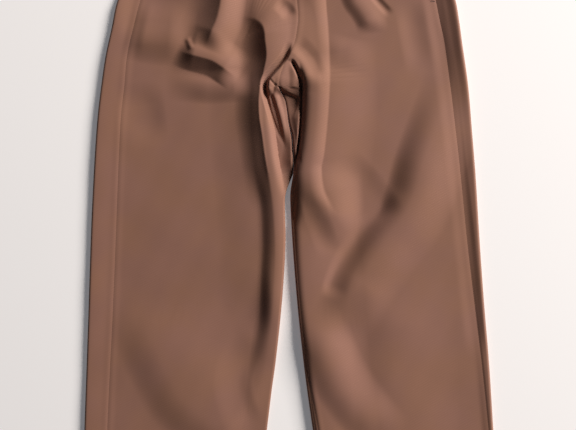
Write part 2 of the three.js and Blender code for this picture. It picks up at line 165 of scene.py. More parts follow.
CROTCH_FOLDS = [
    # the low cloth between the legs
    crease(6.0, 20, 18, [(-22, 305), (-18, 330), (-10, 360), (-3, 395), (2, 430)], 12, 44,
           (FLAT, SOFT), (FLAT, SOFT)),
    # the crease left of the centre seam, which turns down along the right inseam
    crease(8.0, 10, 6, [(2, 232), (-7, 254), (-18, 269), (-28, 280), (-36, 290), (-39, 301),
                        (-37, 315), (-30, 342), (-22, 366), (-13, 386), (-6, 402)], 26, 50,
           (ROUND, SOFT), (SHARP, SOFT), (1.0, 0.8)),
    crease(4.5, 7, 5, [(-39, 301), (-37, 315), (-30, 342), (-22, 366), (-13, 386), (-6, 402)],
           18, 40, (ROUND, SOFT), (SHARP, SOFT)),
    # the tongue of cloth that the centre seam ends on, and the hollow under it
    fold(2.0, 10, 12, [(4, 262), (6, 276), (7, 290), (6, 306)], 16, 4),
    crease(4.0, 36, 4.5, [(-16, 310), (-4, 314), (8, 319), (16, 322)], 6, 4,
           (ROUND, SOFT), (SHARP, SOFT)),
    # the small ridge beside that crease, and a crinkle over its top
    fold(4.2, 6, 10, [(-30, 306), (-23, 322), (-18, 338), (-13, 358), (-8, 381), (-3, 402)], 10, 40),
    fold(-1.6, 2.4, 2.4, [(-33, 291), (-27, 298), (-21, 302)], 3, 3),
    # the cloth that climbs to the left leg, and the crevice beside that leg
    fold(5.0, 24, 5, [(16.8, 330), (15.2, 366), (11.8, 400), (7, 425), (4, 443)], 24, 24,
         (ROUND, SOFT), (SHARP, CRISP)),
    crease(4.5, 4, 5, [(0, 258), (10, 278), (16, 296), (17.5, 315), (16.8, 338), (15.2, 366),
                       (11.8, 400), (7, 425), (4, 443)], 14, 12, (SHARP, SOFT), (SHARP, SOFT)),
    # soft hollows beside the centre seam's upper part and above the rim
    fold(-3.0, 16, 14, [(-24, 166), (-8, 178), (2, 196)], 14, 14),
    fold(-2.0, 14, 22, [(4, 234), (20, 248), (33, 270), (40, 292)], 16, 16),
]
LEFT_LEG_FOLDS = [
    # the inner thigh, which rises from the crevice, its rim over the crotch, and the inner
    # leg below them
    fold(9.0, 26, 96, [(38, 250), (44, 290), (44, 330), (42, 366), (38, 400), (31, 441),
                       (27, 482), (25, 520)], 50, 80, (FLAT, CRISP)),
    fold(3.0, 10, 22, [(-6, 250), (4, 254), (14, 262), (23, 274), (29, 292), (31, 314)], 16, 30,
         (FLAT, CRISP)),
    fold(8.0, 18, 90, [(33, 441), (25, 482), (21, 520), (21, 544), (24, 603), (30, 666),
                       (38, 739), (53, 850), (72, 962)], 80, 90, (BROAD, CRISP)),
    # the ridge that falls from the waist, with a crisp foot on its outer side
    fold(6.0, 44, 20, [(36, 80), (36.5, 162), (40, 210), (42, 258), (42, 294), (39, 349),
                       (33.6, 403), (29, 432), (33, 470), (47, 500), (62, 520)], 60, 50,
         (ROUND, SOFT), (ROUND, CRISP)),
    # the edge of the pocket opening
    fold(1.4, 8, 2, [(184, 45), (205, 80), (219.5, 120), (227, 150), (229.5, 163)], 10, 3,
         (ROUND, SOFT), (SHARP, CRISP)),
    # the rise of the back panel's strip to the leg's rolled edge
    fold(3.6, 24, 10, [(230, 80), (242, 110), (256, 162), (262.5, 195), (267, 230), (276.5, 299),
                       (283, 368)], 40, 130, (SHARP, CRISP), (BROAD, CRISP)),
    # folds under the waist
    fold(4.5, 22, 30, [(88, 90), (92, 130), (102, 162), (113, 178), (124, 197), (127, 218)], 50, 24),
    fold(-2.2, 9, 8, [(114, 130), (134, 158), (150, 176), (162, 188)], 24, 16),
    fold(2.2, 30, 28, [(40, 236), (86, 248), (140, 258)], 40, 50),
    fold(-2.2, 26, 26, [(186, 150), (193, 190), (199, 226), (206, 262), (212, 290)], 60, 60),
    # the thigh's broad crest and the shallow troughs beside it
    fold(6.5, 56, 52, [(58, 420), (66, 460), (72, 494), (68, 530), (60, 562)], 50, 60,
         spread=(1.1, 0.7)),
    fold(-3.0, 60, 40, [(70, 418), (92, 442), (114, 466), (134, 494), (146, 520)], 40, 30),
    fold(-1.3, 20, 22, [(30, 466), (38, 500), (50, 535), (64, 574)], 30, 40),
    # the large slanting fold beside it
    fold(13.0, 36, 54, [(276, 236), (264, 280), (238, 350), (213, 414), (203, 446), (194, 478),
                        (178, 510), (156, 540), (136, 570), (114, 602), (90, 640), (72, 670), (60, 696)],
         230, 100, spread=(1.4, 1.15)),
    fold(-2.4, 16, 28, [(170, 472), (152, 494), (132, 513), (115, 530), (96, 554), (80, 581),
                        (68, 610), (61, 638)], 50, 22),
    # the ridges that run down the lower leg
    fold(6.5, 46, 50, [(22, 645), (52, 713), (86, 779), (128, 834), (162, 874)], 90, 70),
    fold(4.0, 70, 100, [(160, 600), (165, 700), (170, 800), (175, 940)], 90, 80),
    # the valley along the side seam
    fold(-1.7, 24, 12, [(224, 120), (238, 195), (253, 290), (262, 368), (277, 490), (293, 640),
                       (304, 740)], 50, 60),
]
APART_FROM = 400.0          # below it a leg's folds die out on the other leg
APART_OVER = 50.0
LINE_STEPS = 6              # straight steps from one point of a fold's line to the next

# Creases of the cloth underneath, which lifts a little off the floor along them.
UNDER_FOLDS = [
    fold(1.8, 12, 16, [(-150, 60), (-165, 150), (-150, 230)]),
    fold(1.5, 14, 10, [(-60, 70), (-70, 160), (-50, 240), (-30, 300)]),
    fold(1.8, 14, 16, [(120, 60), (140, 150), (120, 230)]),
    fold(1.6, 16, 12, [(60, 190), (90, 260), (150, 330), (200, 420)], 40, 60),
    fold(2.0, 14, 22, [(-60, 360), (-120, 400), (-190, 470), (-240, 560)], 40, 80),
    fold(1.6, 24, 24, [(-180, 620), (-200, 720), (-170, 840), (-180, 930)], 80, 60),
    fold(1.8, 24, 20, [(120, 560), (150, 680), (140, 800), (170, 900)], 80, 60),
]
UNDER_RISE_OVER = 12.0      # from the roll to where those creases have their full height

# Sewn seams dip a little into the cloth: depth and half width of the dip.
SEAM_DIP = 0.4
SEAM_DIP_REACH = 1.9
SEAM_SHOULDER = 0.25        # the turned-in edges under the seam lift it on both sides
SEAM_SHOULDER_REACH = 8.0
SEAM_FADE = 10.0            # past its ends a seam's relief dies out over this length
HEM_LINE = LENGTH - 25.0    # where the turned-up hem is stitched
HEM_DIP = 0.35
HEM_DIP_REACH = 1.3
HEM_RISE = 0.5              # the hem is double cloth
HEM_RISE_OVER = 4.0

# Threads, as half sizes but for the pitches and STITCH, a stitch's whole length.
THREAD = 0.2
SPREAD_THREAD = 1.4 * THREAD        # where the thread is pulled broad
STITCH = 2.6
STITCH_PITCH = 3.6
STITCH_INSET = 1.0                  # from each roll to the stretch that holds the hem's stitches
TACK_LENGTH = 1.2
TACK_PITCH = 0.55
TACK_THREADS = 13
POCKET_TACKS = {"right": (-237.0, 159.0), "left": (223.5, 165.0)}   # x and down
THREAD_SEGMENTS = 8
THREAD_RINGS = 6

SMOOTH_ANGLE = math.radians(60)
WELD_REACH = 0.02
SHARE_SLACK = 1e-6          # lets a share that rounding moved still count as inside
TURN_SLACK = 1e-9

# ---- Curves and tables ----


def value_at(table, column, down):
    """Smooth curve through a table's rows, held level past its ends."""
    rows = np.asarray(table["down"], float)
    values = np.asarray(table[column], float)
    last = len(rows) - 1
    level = np.clip(down, rows[0], rows[-1])
    i = np.clip(np.searchsorted(rows, level, side="right") - 1, 0, last - 1)
    before = np.maximum(np.arange(last + 1) - 1, 0)
    after = np.minimum(np.arange(last + 1) + 1, last)
    slopes = (values[after] - values[before]) / (rows[after] - rows[before])
    span = rows[i + 1] - rows[i]
    t = (level - rows[i]) / span
    rise = t * t * (3 - 2 * t)
    bend = span * t * (1 - t) * ((1 - t) * slopes[i] - t * slopes[i + 1])
    return values[i] * (1 - rise) + values[i + 1] * rise + bend


def fade(t):
    """Rises from 0 to 1 as t does, level at both ends."""
    s = np.clip(t, 0, 1)
    return s * s * (3 - 2 * s)


def rounded_line(points):
    """The points joined by a smooth curve, as short straight steps."""
    p = np.asarray(points, float)
    p = np.vstack([2 * p[0] - p[1], p, 2 * p[-1] - p[-2]])
    t = np.linspace(0, 1, LINE_STEPS, endpoint=False)[:, None]
    spans = [0.5 * (2 * b + (c - a) * t + (2 * a - 5 * b + 4 * c - d) * t ** 2
                    + (3 * b - a - 3 * c + d) * t ** 3)
             for a, b, c, d in zip(p, p[1:], p[2:], p[3:])]
    return np.vstack(spans + [p[-2:-1]])


def fold_share(one, x, down):
    """How much of a fold's height each place gets."""
    points = rounded_line(one["line"])
    reach = max(one["before"], one["after"]) * max(one["spread"])
    near = ((x > points[:, 0].min() - reach) & (x < points[:, 0].max() + reach)
            & (down > points[:, 1].min() - reach) & (down < points[:, 1].max() + reach))
    px, py = x[near], down[near]
    nearest = np.full(px.shape, np.inf)
    side = np.ones(px.shape)
    along = np.zeros(px.shape)
    steps = np.diff(points, axis=0)
    lengths = np.hypot(steps[:, 0], steps[:, 1])
    starts = np.concatenate([[0], np.cumsum(lengths)])
    for a, step, length, start in zip(points, steps, lengths, starts):
        t = np.clip(((px - a[0]) * step[0] + (py - a[1]) * step[1]) / length ** 2, 0, 1)
        dx, dy = px - a[0] - step[0] * t, py - a[1] - step[1] * t
        distance = np.hypot(dx, dy)
        closer = distance < nearest
        nearest = np.where(closer, distance, nearest)
        side = np.where(closer, step[1] * dx - step[0] * dy, side)
        along = np.where(closer, start + t * length, along)
    is_before = side < 0
    widening = np.interp(along / starts[-1], (0, 1), one["spread"])
    reaches = np.where(is_before, one["before"], one["after"]) * widening
    crest = np.where(is_before, one["before_shape"][0], one["after_shape"][0])
    foot = np.where(is_before, one["before_shape"][1], one["after_shape"][1])
    profile = (1 - np.minimum(nearest / reaches, 1) ** crest) ** foot
    ends = fade(along / one["fade_in"]) * fade((starts[-1] - along) / one["fade_out"])
    share = np.zeros(x.shape)
    share[near] = profile * ends
    return share


# ---- Legs ----


class Leg:
    """The lines of one leg; sign points from its outer edge towards its inner one."""

    def __init__(self, side):
        self.side = side
        self.outline = RIGHT_SIDE if side == "right" else LEFT_SIDE
        self.sign = 1 if side == "right" else -1

    def edge(self, down):
        return value_at(self.outline, "edge", down)

    def seam(self, down):
        return value_at(self.outline, "seam", down)

    def inner(self, down):
        apart = value_at(INNER_EDGES, self.side, down)
        joined = value_at(MIDDLE, "x", down)
        return np.where(down < GAP_TOP, joined, apart) - self.sign * SEAM_GAP / 2

    def inseam(self, down):
        return value_at(INSEAMS, self.side, down)


LEGS = {side: Leg(side) for side in ("right", "left")}


def centre_seam(down):
    return value_at(CENTRE, "x", down)


# ---- The lift of the upper cloth ----


def hem_dip(down):
    """Depth of the groove that the hem's stitches pull."""
    return HEM_DIP * np.exp(-((down - HEM_LINE) / HEM_DIP_REACH) ** 2)


def seam_relief(x, down):
    """Dips and shoulders along the seams that lie on top."""
    lines = [
        (LEGS["right"].seam, PANEL_TOP, LENGTH),
        (LEGS["left"].seam, PANEL_TOP, LENGTH),
        (centre_seam, PANEL_TOP, CROTCH_DOWN),
        (lambda level: value_at(MIDDLE, "x", level), CROTCH_DOWN, GAP_TOP),
        (lambda level: LEGS["left"].inner(level) + LEGS["left"].inseam(level),
         LEFT_INSEAM_SHOWS, LENGTH),
    ]
    relief = np.zeros(x.shape)
    for line, first, last in lines:
        slope = (line(down + 1) - line(down - 1)) / 2
        away = np.abs(x - line(down)) / np.hypot(1, slope)
        present = fade((down - first) / SEAM_FADE + 1) * fade((last - down) / SEAM_FADE + 1)
        dip = -SEAM_DIP * np.exp(-(away / SEAM_DIP_REACH) ** 2)
        shoulder = SEAM_SHOULDER * np.exp(-(away / SEAM_SHOULDER_REACH) ** 4)
        relief += (dip + shoulder) * present
    return relief + HEM_RISE * fade((down - HEM_LINE) / HEM_RISE_OVER) - hem_dip(down)


def ripple(x, down):
    """Faint unevenness of cloth that was laid by hand."""
    # each wave's height, its turn in radians per millimetre across and down, and its start
    waves = ((0.22, 0.031, 0.012, 0.4), (0.18, -0.023, 0.027, 2.1), (0.12, 0.062, 0.018, 4.0),
             (0.08, 0.048, -0.066, 1.3), (0.05, 0.15, 0.07, 0.2))
    return sum(size * np.sin(x * kx + down * ky + start) for size, kx, ky, start in waves)


def gathers(x, down):
    """Soft gathers under the waistband, uneven in spacing and length."""
    phase = x * 2 * math.pi / GATHER_PITCH + 1.3 * np.sin(x * 0.043) + 0.6 * np.sin(x * 0.11 + 1)
    length = GATHER_FADE * (0.62 + 0.3 * np.sin(x * 0.083 + 0.7) + 0.2 * np.sin(x * 0.19))
    return GATHER_HEIGHT * np.cos(phase) * (1 - fade((down - BAND_DEPTH) / length))


def own_share(leg, x, down):
    """One on the leg itself; on the other leg it dies out below APART_FROM."""
    middle = (LEGS["right"].inner(down) + LEGS["left"].inner(down)) / 2
    on_other = (x - middle) * leg.sign > 0
    return 1 - on_other * fade((down - APART_FROM) / APART_OVER)


def top_lift(x, down):
    """Height of the upper cloth's outer face, anywhere inside the silhouette."""
    lift = value_at(LOFT, "lift", down)
    for side, leg in LEGS.items():
        inside = np.abs(x - leg.edge(down)) / EDGE_LIFT_WIDTH[side]
        lift = lift + EDGE_LIFT[side] * (1 - fade(inside))
    for side, folds in (("right", RIGHT_LEG_FOLDS), ("left", LEFT_LEG_FOLDS)):
        own = own_share(LEGS[side], x, down)
        for one in folds:
            lift = lift + one["height"] * own * fold_share(one, x, down)
    for one in CROTCH_FOLDS:
        rise = one["level"] - lift if "level" in one else one["height"]
        lift = lift + rise * fold_share(one, x, down)
    lift = lift + gathers(x, down) + ripple(x, down)
    spare = lift - LEAST_LIFT
    lift = LEAST_LIFT + (spare + np.hypot(spare, PRESS_SOFTNESS)) / 2
    return lift + seam_relief(x, down)


def under_lift(x, down):
    """Height of the lower cloth's outer face over the floor."""
    lift = hem_dip(down) + 0 * x
    for one in UNDER_FOLDS:
        lift = lift + one["height"] * fold_share(one, x, down)
    return lift


# ---- A leg's section ----
# "run" is a place's way along the cloth from the rolled edge: over 0 on top, under 0 beneath.

ROLL_RUN = ROLL * math.pi / 2


def rolled(run):
    """Distance in from the edge and the share of the full height, at a run from the edge."""
    angle = np.clip(run / ROLL_RUN, 0, 1) * math.pi / 2
    on_roll = run < ROLL_RUN
    inset = np.where(on_roll, ROLL * (1 - np.cos(angle)), ROLL + run - ROLL_RUN)
    return inset, np.where(on_roll, np.sin(angle), 1.0)


def run_of(inset):
    """The run from the edge to a place so far in from it; rolled() turned round."""
    safe = np.clip(1 - inset / ROLL, -1, 1)
    return np.where(inset >= ROLL, ROLL_RUN + inset - ROLL, ROLL * np.arccos(safe))


def place_on(edge, sign, run, down):
    """x and lift of the outer face beside an edge, at each run and level."""
    inset, share = rolled(np.abs(run))
    x = edge + sign * inset
    probe = edge + sign * np.maximum(np.where(run > 0, inset, 0), ROLL)
    full = top_lift(probe, down)
    lift = full * (0.5 + 0.5 * np.sign(run) * share)
    beneath = under_lift(x, down) * fade((np.abs(run) - ROLL_RUN) / UNDER_RISE_OVER) * (run < 0)
    return x, lift + beneath


# ---- Making pieces ----

HEM_ROWS_REACH = 6.0        # the rows are crowded this far above and below the hem's stitches
LEVELS_AT = (0.0, 0.08, 0.20, 0.66, 0.81, 0.94, 0.985, 1.0)
LEVELS = (PANEL_TOP, 130.0, 225.0, 440.0, 640.0, HEM_LINE - HEM_ROWS_REACH,
          HEM_LINE + HEM_ROWS_REACH, LENGTH)


def levels_of(share):
    """Level at each share of a panel's length; rows lie closer at the crotch and the hem."""
    return np.interp(share, LEVELS_AT, LEVELS)


def share_of(level):
    return float(np.interp(level, LEVELS, LEVELS_AT))


def select_only(piece):
    bpy.ops.object.select_all(action="DESELECT")
    piece.select_set(True)
    bpy.context.view_layer.objects.active = piece


def laid_grid(name, columns, rows, shape):
    """A grid primitive laid out by shape(across, along) -> x, down, lift and its cloth run."""
    bpy.ops.object.select_all(action="DESELECT")
    bpy.ops.mesh.primitive_grid_add(x_subdivisions=columns, y_subdivisions=rows, size=1)
    piece = bpy.context.object
    piece.name = name
    mesh = piece.data
    flat = np.empty(len(mesh.vertices) * 3)
    mesh.vertices.foreach_get("co", flat)
    flat = flat.reshape(-1, 3)
    x, down, lift, run = shape(flat[:, 0] + 0.5, 0.5 - flat[:, 1])
    laid = np.column_stack([x, LENGTH / 2 - down, lift]) * MM
    mesh.vertices.foreach_set("co", laid.ravel())
    corners = np.empty(len(mesh.loops), int)
    mesh.loops.foreach_get("vertex_index", corners)
    chart = np.column_stack([run, -down])[corners] * MM
    mesh.uv_layers.active.data.foreach_set("uv", chart.ravel())
    mesh.update()
    return piece


def thicken(piece, thickness):
    """Gives the cloth its thickness on its inner side and smooths it."""
    select_only(piece)
    wall = piece.modifiers.new("thickness", "SOLIDIFY")
    wall.thickness = thickness * MM
    wall.offset = -1
    wall.use_quality_normals = True
    bpy.ops.object.modifier_apply(modifier=wall.name)
    bpy.ops.object.shade_smooth_by_angle(angle=SMOOTH_ANGLE)


def weld(piece):
    """Joins the edges that meet."""
    select_only(piece)
    bpy.ops.object.mode_set(mode="EDIT")
    bpy.ops.mesh.select_all(action="SELECT")
    bpy.ops.mesh.remove_doubles(threshold=WELD_REACH * MM)
    bpy.ops.object.mode_set(mode="OBJECT")


def between(start, end, share):
    return start + (end - start) * share


FRONT_COLUMNS = 138
FRONT_ROWS = 350
FRONT_BIAS = 0.55           # crowds a front panel's columns towards the inner leg
EASE_SHIFTS = range(-24, 25, 6)     # levels over which the columns' end is averaged
STEP_POWER = 8              # the higher, the fewer columns follow the step at the crotch


def front_panel(side):
    leg = LEGS[side]

    def seam_end(down):
        """Where the panel ends: at the centre seam, and below the crotch at the inseam."""
        edge = leg.edge(down)
        centre = centre_seam(down) - leg.sign * SEAM_GAP / 2
        whole = np.abs(leg.inner(down) - edge) - 2 * ROLL + 2 * ROLL_RUN
        above = down <= CROTCH_DOWN
        end = np.where(above, run_of(np.abs(centre - edge)),
                       whole - run_of(leg.inseam(down)) - SEAM_GAP / 2)
        return end, whole, above

    def shape(across, along):
        down = levels_of(along)
        edge = leg.edge(down)
        t = across if leg.sign > 0 else 1 - across
        t = t + FRONT_BIAS * t * (1 - t)
        start = run_of(np.abs(leg.seam(down) - edge)) + SEAM_GAP / 2
        end, whole, above = seam_end(down)
        # the seam steps sideways at the crotch; only the last columns follow that step
        eased_end = sum(seam_end(down + shift)[0] for shift in EASE_SHIFTS) / len(EASE_SHIFTS)
        run = between(start, eased_end, t) + (end - eased_end) * t ** STEP_POWER
        outer_half = above | (run < whole / 2)
        x_out, lift_out = place_on(edge, leg.sign, run, down)
        x_in, lift_in = place_on(leg.inner(down), -leg.sign, whole - run, down)
        x = np.where(outer_half, x_out, x_in)
        return x, down, np.where(outer_half, lift_out, lift_in), leg.sign * run

    return laid_grid(f"{side}_front_cloth", FRONT_COLUMNS, FRONT_ROWS, shape)


BACK_COLUMNS = 84
FORK_COLUMNS = 22
BACK_ROWS_ABOVE = 84
BACK_ROWS_BELOW = 236
UNDER_SHARE_AT = (0.0, 0.16, 0.32, 1.0)   # shares of the columns for strip, roll and underside
STRIP_SHARE = 0.9           # where a strip is narrower than its roll, the roll starts here


def back_panel(side):
    """Strip beside the side seam, outer roll, underside, inner roll and fork, in one piece."""
    leg = LEGS[side]
    crotch_share = share_of(CROTCH_DOWN)

    def main(across, along, first, last, has_fork):
        """The panel between two shares of its length, all but the fork."""
        down = levels_of(between(first, last, along))
        edge = leg.edge(down)
        t = 1 - across if leg.sign > 0 else across
        seam_run = run_of(np.abs(leg.seam(down) - edge)) - SEAM_GAP / 2
        inner = leg.inner(down) if has_fork else centre_seam(down) - leg.sign * SEAM_GAP / 2
        width = np.abs(inner - edge) - (ROLL if has_fork else 0)
        stops = [seam_run, np.minimum(seam_run * STRIP_SHARE, ROLL_RUN), -ROLL_RUN, -run_of(width)]
        run = np.empty(t.shape)
        for k in range(len(stops) - 1):
            low, high = UNDER_SHARE_AT[k:k + 2]
            inside = (t >= low - SHARE_SLACK) & (t <= high + SHARE_SLACK)
            share = (t - low) / (high - low)
            run[inside] = between(stops[k], stops[k + 1], share)[inside]
        x, lift = place_on(edge, leg.sign, run, down)
        return x, down, lift, leg.sign * run

    def fork(across, along):
        """The inner roll and what lies over it, from the underside to the inseam."""
        down = levels_of(between(crotch_share, 1, along))
        t = 1 - across if leg.sign > 0 else across
        inseam_run = run_of(leg.inseam(down)) - SEAM_GAP / 2
        run = between(-ROLL_RUN, inseam_run, t)
        x, lift = place_on(leg.inner(down), -leg.sign, run, down)
        width = np.abs(leg.inner(down) - leg.edge(down))
        return x, down, lift, -leg.sign * (width + run)

    seat = laid_grid(f"{side}_back_cloth", BACK_COLUMNS, BACK_ROWS_ABOVE,
                     lambda a, b: main(a, b, 0, crotch_share, False))
    shank = laid_grid(f"{side}_shank", BACK_COLUMNS, BACK_ROWS_BELOW,
                      lambda a, b: main(a, b, crotch_share, 1, True))
    inner = laid_grid(f"{side}_fork", FORK_COLUMNS, BACK_ROWS_BELOW, fork)
    select_only(seat)
    shank.select_set(True)
    inner.select_set(True)
    bpy.ops.object.join()
    weld(seat)
    return seat


BAND_COLUMNS = 300
BAND_ROWS = 14
BAND_GATHERS = 34
BAND_GATHER_HEIGHT = 0.7
BAND_TURN = 0.04            # share of the ring's columns on each pressed turn
BAND_RADIUS = BAND_LIFT / 2
BAND_STITCH_LEVELS = (3.0, 35.0)


def band_ends(down):
    """x of the band's two turns, where its flat faces end."""
    return LEGS["right"].edge(down) + BAND_RADIUS, LEGS["left"].edge(down) - BAND_RADIUS


def band_wave(across, down):
    """The band's gathers, which the elastic inside it draws up; never over 0."""
    puff = np.sin(np.clip(down / BAND_DEPTH, 0, 1) * math.pi) ** 0.5
    phase = across * 4 * math.pi * BAND_GATHERS + np.sin(across * 40)
    return BAND_GATHER_HEIGHT * (np.cos(phase) - 1) * puff


def band_top(x, down):
    """Height of the band's upper face."""
    left, right = band_ends(down)
    across = (x - left) / (right - left) * (0.5 - BAND_TURN)
    return BAND_LIFT + band_wave(across, down)


def waistband():
    """A band sewn into a ring and pressed flat, gathered by the elastic inside it."""

    def shape(across, along):
        down = along * BAND_DEPTH
        left, right = band_ends(down)
        turns_at = (0, 0.5 - BAND_TURN, 0.5, 1 - BAND_TURN, 1)
        quarter = np.interp(across, turns_at, (0, 1, 2, 3, 4))
        part = np.floor(quarter + TURN_SLACK)
        half = np.clip(quarter - part, 0, 1)
        wave = band_wave(across, down)
        turn = half * math.pi
        x = np.select([part == 0, part == 1, part == 2],
                      [between(left, right, half), right + BAND_RADIUS * np.sin(turn),
                       between(right, left, half)], left - BAND_RADIUS * np.sin(turn))
        rounding = BAND_RADIUS * np.cos(turn)
        lift = np.select([part == 0, part == 1, part == 2],
                         [BAND_LIFT + wave, BAND_RADIUS + rounding, -0.5 * wave],
                         BAND_RADIUS - rounding)
        return x, down, lift, across * 2 * (right - left)

    band = laid_grid("waistband_cloth", BAND_COLUMNS, BAND_ROWS, shape)
    weld(band)
    return band


def thread_row(name, count, pitch, size, place, surface):
    """Threads side by side; place turns a spot along and across the row into x and down."""
    bpy.ops.object.select_all(action="DESELECT")
    bpy.ops.mesh.primitive_uv_sphere_add(segments=THREAD_SEGMENTS, ring_count=THREAD_RINGS, radius=1)
    row = bpy.context.object
    row.name = name
    row.scale = size
    bpy.ops.object.transform_apply(location=False, rotation=False, scale=True)
    repeat = row.modifiers.new("repeat", "ARRAY")
    repeat.use_relative_offset = False
    repeat.use_constant_offset = True
    repeat.constant_offset_displace = (pitch, 0, 0)
    repeat.count = count
    bpy.ops.object.modifier_apply(modifier=repeat.name)
    mesh = row.data
    spots = np.empty(len(mesh.vertices) * 3)
    mesh.vertices.foreach_get("co", spots)
    spots = spots.reshape(-1, 3)
    x, down = place(spots[:, 0], spots[:, 1])
    laid = np.column_stack([x, LENGTH / 2 - down, surface(x, down) + spots[:, 2]]) * MM
    mesh.vertices.foreach_set("co", laid.ravel())
    mesh.update()
    bpy.ops.object.shade_smooth_by_angle(angle=SMOOTH_ANGLE)
    return row


def stitched_line(name, start, end, level, surface):
    """A straight row of stitches on a surface, from one x to another."""
    count = int((end - start) / STITCH_PITCH)
    return thread_row(name, count, STITCH_PITCH, (STITCH / 2, SPREAD_THREAD, THREAD),
                      lambda along, across: (start + STITCH + along, level - across), surface)


def bar_tack(name, start, level):
    """The dense stitches that close the lower end of a pocket opening."""
    return thread_row(name, TACK_THREADS, TACK_PITCH, (THREAD, TACK_LENGTH, SPREAD_THREAD),
                      lambda along, across: (start + along, level - across), top_lift)


def under_surface(x, down):
    """Threads underneath lie on the floor, however the cloth above them lifts."""
    return THREAD + 0 * x


def sewing():
    """Each row of threads with the name of the piece that carries it."""
    rows = []
    for side, leg in LEGS.items():
        ends = sorted((float(leg.edge(HEM_LINE)), float(leg.inner(HEM_LINE))))
        start, end = ends[0] + ROLL + STITCH_INSET, ends[1] - ROLL - STITCH_INSET
        rows += [(stitched_line(f"{side}_hem_stitches_top", start, end, HEM_LINE, top_lift),
                  f"{side}_front"),
                 (stitched_line(f"{side}_hem_stitches_under", start, end, HEM_LINE,
                                under_surface), f"{side}_back")]
    for number, level in enumerate(BAND_STITCH_LEVELS, 1):
        left, right = (float(end) for end in band_ends(level))
        rows += [(stitched_line(f"band_stitches_top_{number}", left, right, level, band_top),
                  "waistband"),
                 (stitched_line(f"band_stitches_under_{number}", left, right, level,
                                under_surface), "waistband")]
    rows += [(bar_tack(f"{side}_pocket_tack", *place), f"{side}_front")
             for side, place in POCKET_TACKS.items()]
    return rows


# ---- Materials ----


def node(tree, kind, inputs=None, **settings):
    """A node of some kind, with its settings and the values of its inputs."""
    made = tree.nodes.new(kind)
    for name, value in settings.items():
        setattr(made, name, value)
    for socket, value in (inputs or {}).items():
        made.inputs[socket].default_value = value
    return made


TWILL_ANGLE = math.radians(63)
# A wave's bands lie 2 pi / 20 / scale apart, so these ribs are 3.5 mm apart.
RIB_SCALE = 90.0
SIDE_RUB = 7.0              # how far from the rolled edge the cloth is rubbed lighter
HEM_RUB = 5.0


